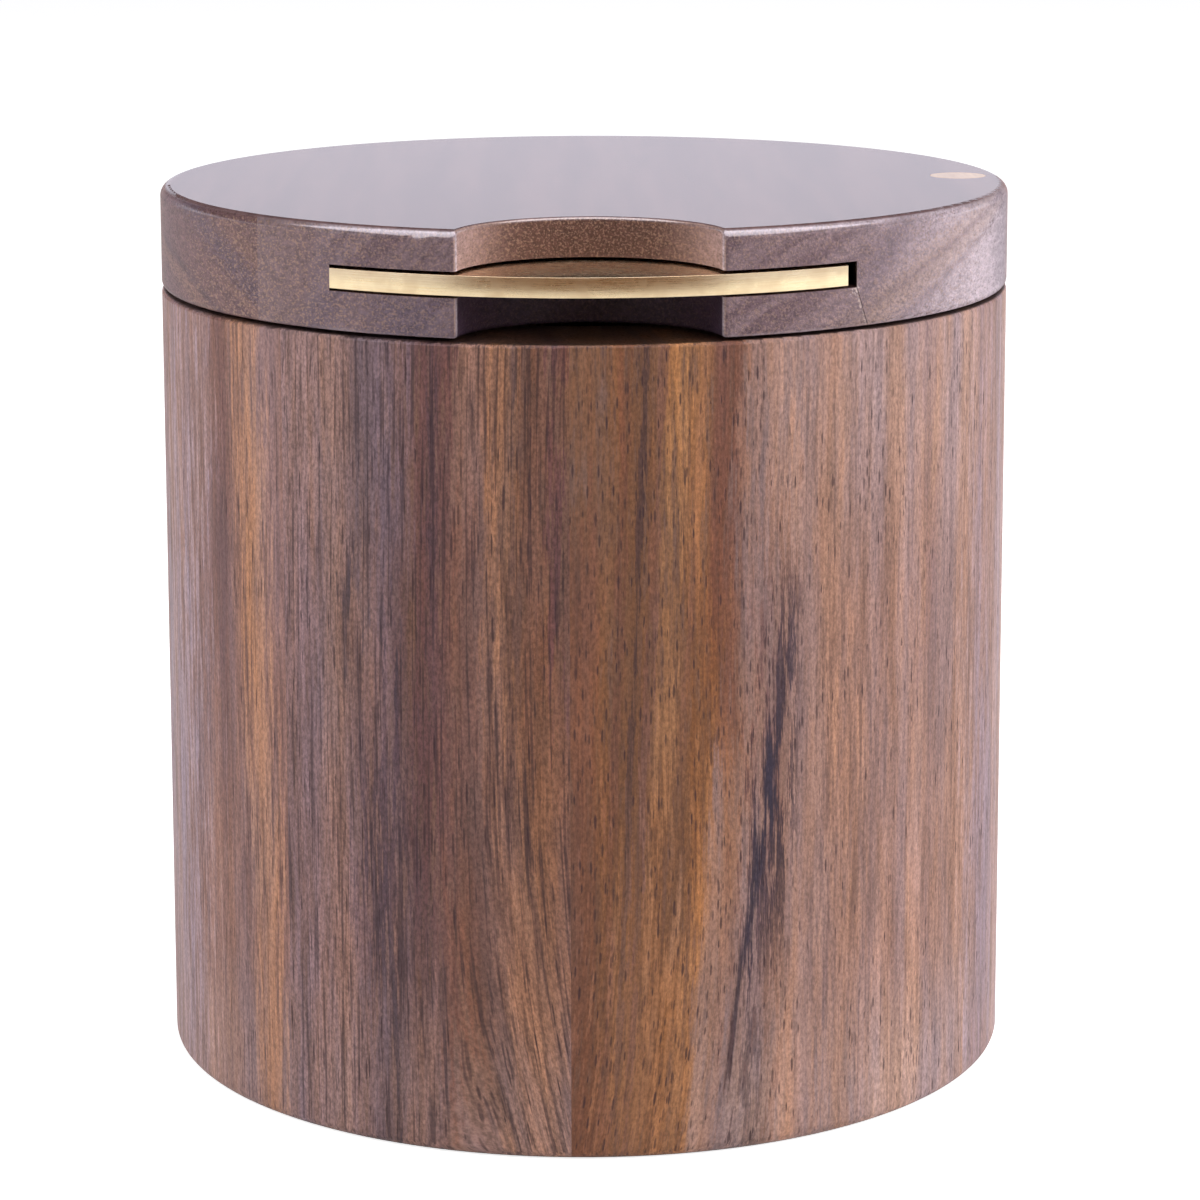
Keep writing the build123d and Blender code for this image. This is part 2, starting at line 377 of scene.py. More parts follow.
middle_streaks = [
    mark(SILVER_WOOD_AND_EDGE_SHEEN, 0.3, -25.0, 9.0, soft=0.3, ragged=0.8),
    mark(SILVER_WOOD_AND_EDGE_SHEEN, 0.25, -25.6, 3.4, bottom=42.0, fade=10.0),
    mark(SILVER_WOOD_AND_EDGE_SHEEN, 0.3, -29.0, 3.6, top=18.0, fade=10.0),
    mark(OLIVE_BROWN, 0.5, -4.4, 3.6, bottom=28.0, fade=14.0, soft=0.5),
    mark(SLATE_BROWN, 0.3, -28.4, 2.8, top=62.0, fade=14.0, ragged=1.6),
    mark(PALE_WOOD, 0.5, -25.2, 1.6, bottom=42.0),
    mark(PALE_WOOD, 0.3, -28.0, 4.5, bottom=66.0, fade=12.0),
    mark(SLATE_BROWN, 0.5, -18.6, 5.3, soft=0.25, ragged=1.8),
    mark(SLATE_BROWN, 0.7, -20.6, 3.0, slope=-0.02, bottom=14.0, top=40.0, ragged=2.0),
    mark(PLUM_BROWN, 0.8, -15.2, 2.4, bottom=26.0, fade=14.0, soft=0.4, ragged=1.6),
    mark(PLUM_BROWN, 0.35, -18.4, 1.6, bottom=40.0, fade=12.0, ragged=1.6),
    mark(PALE_WOOD, 0.45, -18.0, 5.0, top=12.0, ragged=1.8),
    mark(PALE_WOOD, 0.55, -22.3, 1.9, bottom=52.0, fade=10.0, ragged=1.8),
    mark(SILVER_WOOD_AND_EDGE_SHEEN, 0.25, -20.6, 4.0, bottom=64.0, fade=10.0, ragged=1.6),
    mark(SILVER_WOOD_AND_EDGE_SHEEN, 0.25, -21.6, 3.0, top=14.0, ragged=1.6),
    mark(BLUE_BLACK, 0.5, -20.4, 2.2, top=36.0, ragged=3.0),
    mark(BLUE_BLACK, 0.6, -19.9, 0.5, slope=-0.02, top=18.0, fade=5.0),
    mark(BLUE_BLACK, 0.5, -21.6, 2.4, bottom=60.0, top=84.0, fade=5.0, ragged=3.4),
    mark(BLUE_BLACK, 0.65, -23.8, 0.8, bottom=50.0, top=58.0, fade=3.0, ragged=2.0),
    mark(BLUE_BLACK, 0.5, -15.3, 0.7, bottom=56.0, top=80.0, ragged=2.4),
    mark(PLUM_BROWN, 0.8, -14.2, 1.0, slope=-0.04, bottom=13.0, top=27.0, fade=4.0, ragged=1.4),
    mark(UMBER, 0.9, -12.4, 2.9, bottom=14.0, top=64.0, fade=12.0, ragged=1.2),
    mark(GOLDEN, 0.4, -8.8, 2.2, bottom=50.0, fade=16.0),
    mark(GOLDEN_PALE, 0.45, -5.6, 4.4, top=26.0, fade=18.0),
    mark(RED_BROWN, 0.35, -5.2, 1.9, bottom=46.0, fade=10.0, ragged=1.6),
    mark(UMBER, 0.6, -2.6, 1.5, bottom=24.0, top=62.0, fade=6.0, ragged=1.6),
    mark(PLUM_BROWN, 0.8, -3.5, 0.9, bottom=54.0, fade=5.0, ragged=2.6)]
middle_board = body_wood(
    "walnut_middle_board", offset=(40.0, 11.0, 0.0),
    figure_settings={"Sway": 0.4, "Pore Length": 4.2, "Pore Pitch": 0.34},
    tones=(colour(134, 96, 82), colour(150, 109, 92)), end_sheen=0.05,
    contrast={"Bands": 0.16, "Fibre": 0.34, "Grit": 0.36, "Lines": 0.6, "Pores": 0.8},
    sweep=(-16.0, -8.0, -0.003), pore_share=(-24.0, -12.0, 0.7, 0.55), streaks=middle_streaks)
right_streaks = [
    mark(OLIVE_BROWN, 0.9, 1.0, 11.6, slope=0.07, soft=0.1, ragged=0.8),
    mark(RED_BROWN, 0.6, -0.8, 2.0, top=66.0, fade=10.0, soft=0.6, ragged=1.2),
    mark(GOLDEN, 0.5, 5.2, 4.4, slope=0.04, top=26.0, fade=20.0),
    mark(GOLDEN, 0.9, 6.7, 2.2, slope=0.04, bottom=66.0, fade=12.0),
    mark(GOLDEN, 0.4, 7.2, 1.6, slope=0.03, bottom=40.0),
    mark(RED_BROWN, 0.6, 2.2, 0.6, slope=0.03, ragged=2.8),
    mark(BLUE_BLACK, 0.6, 3.9, 0.4, slope=0.04, ragged=3.2),
    mark(UMBER, 0.85, 5.2, 0.6, slope=0.05, ragged=2.8),
    mark(UMBER, 0.85, 9.2, 0.5, slope=0.05, ragged=2.8),
    mark(RED_BROWN, 0.9, 12.8, 2.2, slope=0.02, bottom=42.0, fade=10.0, soft=0.6),
    mark(UMBER, 0.6, 14.4, 0.5, slope=0.02, bottom=40.0, ragged=1.6),
    mark(GOLDEN, 0.5, 9.9, 1.6, slope=0.02, bottom=62.0, fade=10.0),
    mark(OLIVE_BROWN, 0.85, 10.6, 2.3, slope=0.1, bottom=26.0, top=52.0, soft=0.6),
    mark(GOLDEN, 0.45, 13.7, 3.4, slope=0.09, top=38.0, fade=10.0, soft=0.8),
    mark(OLIVE_BROWN, 0.6, 9.8, 1.5, slope=0.1, top=26.0, fade=10.0),
    mark(PLUM_BROWN, 0.75, 18.4, 2.7, slope=0.06, bottom=20.0, top=56.0, fade=6.0, ragged=2.4),
    mark(BLUE_BLACK, 0.8, 18.8, 1.7, slope=0.06, bottom=41.0, top=54.0, fade=5.0, ragged=3.2),
    mark(BLUE_BLACK, 0.95, 17.8, 1.2, slope=0.05, bottom=34.0, top=41.0, fade=3.0, ragged=1.6),
    mark(BLUE_BLACK, 0.95, 17.4, 0.9, slope=0.09, bottom=20.0, top=34.0, fade=4.0, ragged=1.6),
    mark(BLUE_BLACK, 0.8, 18.9, 2.0, slope=0.05, bottom=21.0, top=34.0, fade=3.0, ragged=3.6),
    mark(BLUE_BLACK, 0.9, 17.0, 0.55, slope=0.1, bottom=7.0, top=22.0, fade=3.0),
    mark(BLUE_BLACK, 0.6, 18.4, 2.0, slope=0.06, top=14.0, fade=4.0, ragged=3.6),
    mark(BLUE_BLACK, 0.55, 21.0, 1.2, slope=0.03, bottom=38.0, top=54.0, fade=6.0, ragged=3.6),
    mark(GOLDEN_PALE, 0.6, 17.5, 3.6, bottom=66.0, fade=12.0),
    mark(GOLDEN_PALE, 0.5, 20.0, 4.0, top=16.0, fade=10.0),
    mark(GOLDEN, 0.6, 10.4, 2.6, slope=0.08, top=20.0),
    mark(GOLDEN_PALE, 0.4, 25.4, 3.6, top=34.0, fade=14.0, ragged=1.4),
    mark(PALE_WOOD, 0.25, 38.0, 3.6, top=58.0, fade=12.0),
    mark(UMBER, 0.3, 14.2, 2.2, slope=0.05, ragged=1.4),
    mark(PALE_WOOD, 0.2, 4.0, 5.0, top=22.0, fade=12.0, ragged=1.4),
    mark(PALE_WOOD, 0.55, 22.4, 2.6, slope=0.02, ragged=1.2),
    mark(SLATE_BROWN, 0.4, 34.4, 1.2, bottom=50.0, ragged=2.4),
    # painted sheen: this pale streak at the board's outer edge stands in for the grazing sheen there
    mark(SILVER_WOOD_AND_EDGE_SHEEN, 0.75, 42.8, 4.2, top=64.0, fade=24.0, ragged=1.4),
    mark(PLUM_BROWN, 0.3, 41.6, 1.8, soft=0.5)]
right_board = body_wood(
    "walnut_right_board", offset=(-13.0, 24.0, 9.0),
    figure_settings={"Sway": 0.3, "Pore Length": 2.2, "Pore Pitch": 0.37},
    tones=(colour(149, 114, 103), colour(164, 128, 115)), end_sheen=0.18,
    contrast={"Bands": 0.1, "Fibre": 0.24, "Grit": 0.28, "Lines": 0.22, "Pores": 0.8},
    sweep=(22.0, 8.0, 0.0026), pore_share=(8.0, 24.0, 0.9, 0.38), streaks=right_streaks)
paint("body_board_left", left_board)
paint("body_board_middle", middle_board)
paint("body_board_right", right_board)


# The lid: two walnut boards glued edge to edge, turned to the body's diameter, and scooped at the
# front. The grain runs from front to back, so the front edge is end grain with pale open vessels.

END_GRAIN = colour(124, 102, 107)
END_GRAIN_DARK = colour(106, 84, 90)
SIDE_GRAIN = colour(190, 174, 183)
LEFT_DARK = colour(92, 72, 78)
LEFT_GOLDEN = colour(134, 104, 94)
LEFT_SIDE = colour(116, 88, 90)
SEAM_TONE = colour(120, 96, 97)
LID_FLANK = colour(136, 106, 100)
RIM_GOLDEN = colour(158, 132, 122)
SMOKE = colour(98, 84, 98)
SCOOP_END_GRAIN = colour(90, 62, 55)
SCOOP_SIDE_GRAIN = colour(160, 133, 130)
# painted shade: the dark of the shadow under the tab
UNDER_TAB_SHADE_TONE = colour(70, 54, 70)
# painted highlight: the pale of the glint on the scoop's corners and top edge
EDGE_GLINT_PALE = colour(206, 172, 156)
CHIPPED = colour(214, 196, 188)
LID_FACE = colour(126, 98, 97)
LID_FACE_DARK = colour(106, 82, 84)
VESSEL_PALE = colour(184, 148, 126)
# the lid's sizes in millimetres, with the scoop's middle in front of the box
LID_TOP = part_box("lid_board_right")[1].z * 1000.0
LID_RADIUS = 45.0
LID_HALF_HEIGHT = 88.0
SCOOP_RADIUS = 13.3
SCOOP_MIDDLE = (0.0, -46.0)
UNDER_TAB = 86.3
OVER_TAB = 89.6


def distance_from(across, upward, centre):
    """How far a point is from a line, given its two coordinates square to that line."""
    first = minus(across, centre[0])
    second = minus(upward, centre[1])
    return maths("SQRT", plus(times(first, first), times(second, second)))


def growth_noise(distance, rings_per_mm, detail):
    """Noise that changes with the distance from the pith alone."""
    inputs = {"W": times(distance, rings_per_mm), "Scale": 1.0, "Detail": detail}
    made = node(tree_of(distance), "ShaderNodeTexNoise", inputs, noise_dimensions="1D")
    return made.outputs["Fac"]


def lid_wood(name, offset, pith, rim_tones, face_tones, vessel_share, streaks=()):
    """The oiled walnut of one lid board. Its grain runs along Y and its rings go round the pith.

    Rim_tones are its colour from the side, then the dark and the light rings of its end grain.
    """
    material, tree, shader = new_material(
        name, {"Specular IOR Level": 0.35, "Coat Roughness": 0.2, "Coat IOR": 1.8})
    coordinates = node(tree, "ShaderNodeTexCoord", {}).outputs
    mm = moved(coordinates["Object"], scale=MILLIMETRES)
    turned = moved(mm, location=offset, rotation=(math.pi / 2, 0.0, 0.0))
    where = axes_of(mm)
    normal = axes_of(coordinates["Normal"])
    # the vessels are fewer to the right
    share = step_between(where["X"], 8.0, 34.0, vessel_share, vessel_share - 0.65)
    figure = use_group(wood_figure, {
        "Vector": turned, "Sway": 0.5, "Pore Length": 5.0, "Pore Pitch": 0.29,
        "Pore Share": share, "Pore Crowding": 0.9})
    end = step_between(maths("ABSOLUTE", normal["Y"]), 0.4, 0.92)
    flat = step_between(maths("ABSOLUTE", normal["Z"]), 0.75, 0.97)
    rounded = step_between(maths("ABSOLUTE", normal["Z"]), 0.12, 0.4)
    # growth rings, which show on the end grain as broad and fine arcs
    from_pith = distance_from(where["X"], where["Z"], pith)
    from_pith = times_plus(figure["Warmth"], 0.7, from_pith)
    broad = growth_noise(from_pith, 0.42, 1.0)
    fine = growth_noise(from_pith, 2.6, 2.0)
    rings = step_between(times_plus(fine, 0.3, broad), 0.52, 0.78)
    rim_side, rim_dark, rim_light = rim_tones
    rim = blend(end, rim_side, blend(rings, rim_dark, rim_light))
    # streaks on the front edge, placed as the body's are, with the lid's half height as theirs
    in_front = step_between(where["Y"], -12.0, -5.0, 1.0, 0.0)
    rim = blend(in_front, LID_FLANK, rim)
    height = minus(where["Z"], LID_HALF_HEIGHT - HALF_HEIGHT)
    rim = streaked(rim, streaks, where["X"], height, figure["Grit"], shown=in_front)
    # the scoop lies inside the turned edge: its wall was cut later and is warmer
    reach = distance_from(where["X"], where["Y"], (0.0, 0.0))
    cut = step_between(reach, LID_RADIUS - 0.9, LID_RADIUS - 0.4, 1.0, 0.0)
    scoop = blend(end, SCOOP_SIDE_GRAIN, SCOOP_END_GRAIN)
    # painted shade: below the tab the scoop's wall is blended to a dark tone, which stands in for the
    # shadow the tab casts
    under_tab_shade = step_between(where["Z"], UNDER_TAB, OVER_TAB, 1.0, 0.0)
    scoop = blend(under_tab_shade, scoop, UNDER_TAB_SHADE_TONE)
    tone = blend(cut, rim, scoop)
    tone = blend(flat, tone, blend(figure["Bands"], *face_tones))
    quiet = times_plus(flat, -0.6, 1.0)
    for part, depth in ((figure["Fibre"], 0.24), (figure["Grit"], 0.26)):
        change = times(minus(part, 0.5), 2.0 * depth)
        tone = shade_by(tone, times(change, quiet), 1.0, 2.0)
    # cut across, the wood is speckled all over by the ends of its fibres, most of all on the left
    speckle = scaled_noise(mm, (4.2, 0.3, 4.2), detail=1.5, roughness=0.6, seed=23.0)
    speckle = step_between(speckle, 0.51, 0.66)
    across_end = step_between(maths("ABSOLUTE", normal["Y"]), 0.25, 0.6)
    across_end = times(across_end, minus(1.0, flat))
    ends_shown = step_between(where["X"], -26.0, -12.0, 0.55, 0.3)
    # the upper wall of the scoop shows them most, and the part under the tab hardly at all, which is
    # painted shade there
    in_scoop = times(cut, step_between(where["Z"], UNDER_TAB, OVER_TAB, -0.6, 0.4))
    across_end = times(across_end, plus(in_scoop, 1.0))
    open_end = times(maths("MAXIMUM", speckle, figure["Pores"]), across_end)
    tone = blend(times(open_end, ends_shown), tone, VESSEL_PALE)
    open_side = times(figure["Pores"], times_plus(end, -0.45, 0.45))
    tone = blend(times(open_side, quiet), tone, VESSEL_DARK)
    # painted highlight: the scoop's two corners and its top edge are painted pale, which stands in for
    # the glint on their small roundings
    from_scoop = distance_from(where["X"], where["Y"], SCOOP_MIDDLE)
    from_scoop = maths("ABSOLUTE", minus(from_scoop, SCOOP_RADIUS))
    corner = times(step_between(from_scoop, 0.06, 0.22, 1.0, 0.0),
                   step_between(reach, LID_RADIUS - 0.3, LID_RADIUS - 0.12))
    brink = times(step_between(from_scoop, 0.06, 0.2, 1.0, 0.0),
                  step_between(where["Z"], LID_TOP - 0.25, LID_TOP - 0.1))
    tone_shift = maths("MAXIMUM", corner, brink)
    tone_shift = times(tone_shift, times_plus(figure["Grit"], 0.5, 0.3))
    tone = blend(tone_shift, tone, EDGE_GLINT_PALE)
    # the flat is smooth, and hands have polished the rounding above the tab
    polish = times(rounded, minus(1.0, flat))
    polish = times(polish, step_between(where["Z"], 88.0, 90.0))
    polish = times(polish, step_between(where["Y"], -28.0, -12.0, 1.0, 0.0))
    smooth = maths("MAXIMUM", flat, polish)
    join(polish, shader.inputs["Coat Weight"])
    relief = times_plus(figure["Pores"], -0.6, times(figure["Grit"], 0.5))
    relief = times_plus(times(speckle, across_end), 0.5, relief)
    relief = times(relief, minus(1.0, smooth))
    dress(shader, tone, times_plus(smooth, -0.3, 0.46), relief, 0.55, 0.0001)
    return material


left_lid_streaks = [
    mark(LEFT_GOLDEN, 0.7, -44.6, 1.6, slope=-1.1, top=43.0, ragged=1.4),
    mark(LEFT_DARK, 0.9, -43.4, 0.7, slope=-1.2, top=43.0, ragged=2.0),
    mark(SMOKE, 0.6, -35.5, 2.4, slope=-1.0, ragged=1.6)]
left_lid = lid_wood(
    "walnut_lid_left", offset=(15.0, 60.0, 4.0), pith=(-75.0, 39.0),
    rim_tones=(LEFT_SIDE, LEFT_DARK, LEFT_GOLDEN), face_tones=(LID_FACE_DARK, LID_FACE),
    vessel_share=1.0, streaks=left_lid_streaks)
right_lid_streaks = [
    mark(SEAM_TONE, 0.8, -30.6, 4.4, slope=0.1, soft=0.4),
    mark(SMOKE, 0.5, -24.8, 3.0, slope=0.4, top=41.0, fade=3.0, ragged=1.2),
    mark(SMOKE, 0.75, -17.5, 6.5, top=39.4, fade=1.0),
    mark(SMOKE, 0.35, 28.6, 1.6, slope=0.6, ragged=1.8),
    mark(RIM_GOLDEN, 0.55, 35.0, 4.4, slope=1.6, soft=0.7, ragged=1.6),
    mark(SMOKE, 0.4, 34.2, 0.8, slope=1.8, ragged=2.6),
    mark(SMOKE, 0.35, 38.4, 0.7, slope=1.4, ragged=2.6),
    mark(SMOKE, 0.75, 45.0, 4.4, soft=1.0),
    mark(CHIPPED, 0.6, 26.1, 0.4, bottom=39.15, top=39.5, fade=0.3, ragged=1.6),
    mark(CHIPPED, 0.3, 25.72, 0.14, slope=-0.3, bottom=35.6, top=39.4, fade=0.6, ragged=2.4),
    mark(VESSEL_DARK, 1.0, 25.85, 0.08, slope=-0.3, bottom=35.6, top=39.4, fade=0.3)]
right_lid = lid_wood(
    "walnut_lid_right", offset=(55.0, 10.0, 30.0), pith=(65.0, 14.0),
    rim_tones=(SIDE_GRAIN, END_GRAIN_DARK, END_GRAIN), face_tones=(LID_FACE_DARK, LID_FACE),
    vessel_share=1.1, streaks=right_lid_streaks)
paint("lid_board_left", left_lid)
paint("lid_board_right", right_lid)


# The tab: a 2 mm brass plate whose front was turned flush with the lid. It is brushed along that
# edge, its corners are broken by hand, and its straight back is bonded in the lid's slot.

TAB_LOW, TAB_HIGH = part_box("brass_tab")
TAB_SIDES = 1080
TAB_CORNER = 0.0005
TAB_BEVEL = 0.00003
BRASS = colour(236, 211, 166)
BRASS_BRIGHT = colour(249, 231, 194)
BRASS_TARNISH = colour(176, 132, 84)


def start_piece(name):
    """Names the primitive that was just added and opens it in edit mode with its place applied."""
    piece = bpy.context.object
    piece.name = name
    bpy.ops.object.transform_apply(location=True, rotation=True, scale=True)
    bpy.ops.object.mode_set(mode="EDIT")
    return piece


def start_from_bar(name, sides, radius, bottom, top, middle=(0.0, 0.0)):
    """Starts a piece as a length of upright round bar."""
    bpy.ops.mesh.primitive_cylinder_add(
        vertices=sides, radius=radius, depth=top - bottom, location=(*middle, (bottom + top) / 2))
    return start_piece(name)


def select_faces(piece, wanted):
    """Selects only the faces, in edit mode, whose middle and normal are wanted."""
    bpy.ops.mesh.select_mode(type="FACE")
    bpy.ops.mesh.select_all(action="DESELECT")
    mesh = bmesh.from_edit_mesh(piece.data)
    for face in mesh.faces:
        face.select_set(wanted(face.calc_center_median(), face.normal))
    bmesh.update_edit_mesh(piece.data)


def select_edges(piece, wanted):
    """Selects only the edges, in edit mode, whose middle and direction are wanted."""
    bpy.ops.mesh.select_mode(type="EDGE")
    bpy.ops.mesh.select_all(action="DESELECT")
    mesh = bmesh.from_edit_mesh(piece.data)
    for edge in mesh.edges:
        first, last = edge.verts[0].co, edge.verts[1].co
        edge.select_set(wanted((first + last) / 2, (last - first).normalized()))
    bmesh.update_edit_mesh(piece.data)


def finish_piece(piece, material, smooth_degrees=35.0):
    """Closes the mesh, turns its faces outwards, smooths the round ones and gives the finish."""
    bpy.ops.mesh.select_all(action="SELECT")
    bpy.ops.mesh.remove_doubles(threshold=0.000002)
    bpy.ops.mesh.normals_make_consistent(inside=False)
    bpy.ops.object.mode_set(mode="OBJECT")
    bpy.ops.object.shade_smooth_by_angle(angle=math.radians(smooth_degrees))
    piece.data.materials.clear()
    piece.data.materials.append(material)


def make_handling():
    """Signs of use on metal and plastic: fine scratches in all directions, and cloudy finger marks."""
    group, given, out = new_group("handling", {"Vector": (0.0, 0.0, 0.0)}, ["Scratches", "Smudges"])
    crossed = []
    for turn, seed in ((0.4, 3.0), (1.9, 14.0), (2.7, 41.0)):
        turned = moved(given["Vector"], rotation=(turn, turn * 0.6, turn))
        thin = scaled_noise(turned, (9000.0, 9000.0, 350.0), detail=1.0, seed=seed)
        crossed.append(step_between(thin, 0.66, 0.74))
    scratches = maths("MAXIMUM", crossed[0], maths("MAXIMUM", crossed[1], crossed[2]))
    join(scratches, out["Scratches"])
    cloud = scaled_noise(given["Vector"], (320.0, 320.0, 320.0), detail=3.0, roughness=0.6)
    join(step_between(cloud, 0.42, 0.68), out["Smudges"])
    return group


handling = make_handling()


def brushed_brass(name):
    """Brass with the fine lines of a brush, along its edge and from side to side on its faces."""
    material, tree, shader = new_material(name, {"Metallic": 1.0})
    coordinates = node(tree, "ShaderNodeTexCoord", {}).outputs
    upward = axes_of(coordinates["Normal"])["Z"]
    face = step_between(maths("ABSOLUTE", upward), 0.6, 0.9)
    edge_lines = scaled_noise(coordinates["Object"], (160.0, 160.0, 24000.0), detail=3.0, roughness=0.7)
    face_lines = scaled_noise(coordinates["Object"], (160.0, 16000.0, 160.0), detail=3.0, roughness=0.7)
    lines = blend(face, edge_lines, face_lines)
    marks = use_group(handling, {"Vector": coordinates["Object"]})
    tone = blend(step_between(lines, 0.3, 0.7), BRASS, BRASS_BRIGHT)
    tone = blend(times(marks["Smudges"], 0.18), tone, BRASS_TARNISH)
    rough = times_plus(face, -0.05, step_between(lines, 0.3, 0.7, 0.25, 0.31))
    rough = times_plus(marks["Smudges"], 0.06, rough)
    rough = times_plus(marks["Scratches"], 0.08, rough)
    dress(shader, tone, rough, lines, 0.08, 0.00002)
    return material


tab = start_from_bar("brushed_tab", TAB_SIDES, -TAB_LOW.y, TAB_LOW.z, TAB_HIGH.z)
saw_cuts = (((0.0, TAB_HIGH.y, 0.0), (0.0, 1.0, 0.0)),
            ((TAB_LOW.x, 0.0, 0.0), (-1.0, 0.0, 0.0)),
            ((TAB_HIGH.x, 0.0, 0.0), (1.0, 0.0, 0.0)))
for place, outward in saw_cuts:
    bpy.ops.mesh.select_all(action="SELECT")
    bpy.ops.mesh.bisect(plane_co=place, plane_no=outward, use_fill=True, clear_outer=True)
select_edges(tab, lambda middle, along: abs(along.z) > 0.9 and min(
    abs(middle.x - TAB_LOW.x), abs(middle.x - TAB_HIGH.x)) < 0.00001)
bpy.ops.mesh.bevel(offset=TAB_CORNER, segments=6, affect="EDGES")
select_faces(tab, lambda middle, normal: abs(normal.z) > 0.9)
bpy.ops.mesh.region_to_loop()
bpy.ops.mesh.bevel(offset=TAB_BEVEL, segments=3, affect="EDGES")
finish_piece(tab, brushed_brass("brushed_brass"))
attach(tab, "lid")
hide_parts("brass_tab")


# The pivot's plug: a pale walnut peg, cut with the grain across it and slightly tapered. It is
# glued over the screw's head and sanded flush with the lid.

def round_size(node_name):
    """The middle, radius, bottom and top of a round CAD node with an upright axis."""
    low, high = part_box(node_name)
    return (low + high) / 2, (high.x - low.x) / 2, low.z, high.z


PLUG_MIDDLE, PLUG_RADIUS, PLUG_BOTTOM, PLUG_TOP = round_size("pivot_plug")
ROUND_SIDES = 96
PLUG_TAPER = 0.97
PLUG_FOOT_BEVEL = 0.00025
PLUG_RIM_BEVEL = 0.00004
PLUG_FACE = colour(224, 186, 146)
PLUG_FACE_DARK = colour(212, 172, 132)

plug = start_from_bar("walnut_plug", ROUND_SIDES, PLUG_RADIUS, PLUG_BOTTOM, PLUG_TOP, PLUG_MIDDLE.xy)
select_faces(plug, lambda middle, normal: normal.z < -0.9)
bpy.ops.transform.resize(value=(PLUG_TAPER, PLUG_TAPER, 1.0))
bpy.ops.mesh.bevel(offset=PLUG_FOOT_BEVEL, segments=3, affect="EDGES")
select_faces(plug, lambda middle, normal: normal.z > 0.9)
bpy.ops.mesh.bevel(offset=PLUG_RIM_BEVEL, segments=2, affect="EDGES")
plug_wood = lid_wood(
    "walnut_plug", offset=(5.0, 80.0, 12.0), pith=(0.0, 60.0),
    rim_tones=(SIDE_GRAIN, END_GRAIN_DARK, END_GRAIN), face_tones=(PLUG_FACE_DARK, PLUG_FACE),
    vessel_share=1.1)
finish_piece(plug, plug_wood, smooth_degrees=20.0)
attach(plug, "lid")
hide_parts("pivot_plug")


# The pivot's bushes: a sleeve pressed into the lid, and a flanged insert in the rim that takes
# the screw's thread. Both are turned from brass bar, and the insert is knurled to grip the wood.

SLEEVE_MIDDLE, SLEEVE_RADIUS, SLEEVE_BOTTOM, SLEEVE_TOP = round_size("pivot_sleeve")
INSERT_FLANGE_RADIUS, INSERT_BOTTOM, INSERT_TOP = round_size("threaded_insert")[1:]
PIVOT = Vector((SLEEVE_MIDDLE.x, SLEEVE_MIDDLE.y, 0.0))
SLEEVE_BORE = 0.00155
INSERT_BORE = 0.0015
INSERT_BARREL = 0.0023
INSERT_FLANGE_HEIGHT = 0.0006
TURNED_BEVEL = 0.00012
INSERT_STRIPS = 90
KNURL_GAP = 0.00002
KNURL_DEPTH = 0.00012
RINGS_PER_METRE = 14000.0
TURNED_BRASS = colour(206, 166, 100)


def section_for_turning(name, inner, outer, bottom, top):
    """A flat section, from one radius and height to another, set up beside the pivot's axis."""
    bpy.ops.mesh.primitive_plane_add(
        size=1.0, rotation=(math.pi / 2, 0.0, 0.0),
        location=(PIVOT.x + (inner + outer) / 2, PIVOT.y, (bottom + top) / 2))
    bpy.context.object.scale = (outer - inner, top - bottom, 1.0)
    return start_piece(name)


def turn_section(steps, bevel):
    """Rounds the section's corners and spins it once round the pivot's axis."""
    bpy.ops.mesh.select_all(action="SELECT")
    bpy.ops.mesh.bevel(offset=bevel, segments=3, affect="VERTICES")
    bpy.ops.mesh.select_all(action="SELECT")
    bpy.ops.mesh.delete(type="ONLY_FACE")
    bpy.ops.mesh.select_all(action="SELECT")
    bpy.ops.mesh.spin(steps=steps, angle=math.tau, center=PIVOT, axis=(0.0, 0.0, 1.0))
    bpy.ops.mesh.select_all(action="SELECT")
    bpy.ops.mesh.remove_doubles(threshold=0.000005)
    bpy.ops.mesh.normals_make_consistent(inside=False)


def make_tool_rings():
    """The rings that a lathe leaves on a part, given a point on the axis that it was turned about."""
    group, given, out = new_group(
        "tool_rings", {"Vector": (0.0, 0.0, 0.0), "Axis": (0.0, 0.0, 0.0)}, ["Rings"])
    points = {0: given["Vector"], 1: given["Axis"]}
    off_axis = node(group, "ShaderNodeVectorMath", points, operation="SUBTRACT")
    where = axes_of(off_axis.outputs[0])
    reach = distance_from(where["X"], where["Y"], (0.0, 0.0))
    along = times(plus(reach, where["Z"]), RINGS_PER_METRE)
    ring = node(group, "ShaderNodeTexNoise", {"W": along, "Scale": 1.0, "Detail": 2.0},
                noise_dimensions="1D").outputs["Fac"]
    join(step_between(ring, 0.3, 0.7), out["Rings"])
    return group


tool_rings = make_tool_rings()


def turned_metal(name, tint, dark_tint, roughness, axis=PIVOT):
    """A turned or plated metal: faint rings round its axis, and the marks of handling."""
    material, tree, shader = new_material(name, {"Metallic": 1.0})
    spot = node(tree, "ShaderNodeTexCoord", {}).outputs["Object"]
    rings = use_group(tool_rings, {"Vector": spot, "Axis": axis})["Rings"]
    marks = use_group(handling, {"Vector": spot})
    tone_shift = times_plus(marks["Smudges"], 0.35, times(rings, 0.25))
    rough = times_plus(marks["Smudges"], 0.12, times_plus(rings, 0.1, roughness))
    rough = times_plus(marks["Scratches"], 0.1, rough)
    relief = times_plus(marks["Scratches"], -0.6, rings)
    dress(shader, blend(tone_shift, tint, dark_tint), rough, relief, 0.15, 0.00001)
    return material


turned_brass = turned_metal("turned_brass", TURNED_BRASS, BRASS_TARNISH, 0.24)

sleeve = section_for_turning("turned_sleeve", SLEEVE_BORE, SLEEVE_RADIUS, SLEEVE_BOTTOM, SLEEVE_TOP)
turn_section(ROUND_SIDES, TURNED_BEVEL)
finish_piece(sleeve, turned_brass)
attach(sleeve, "lid")
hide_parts("pivot_sleeve")

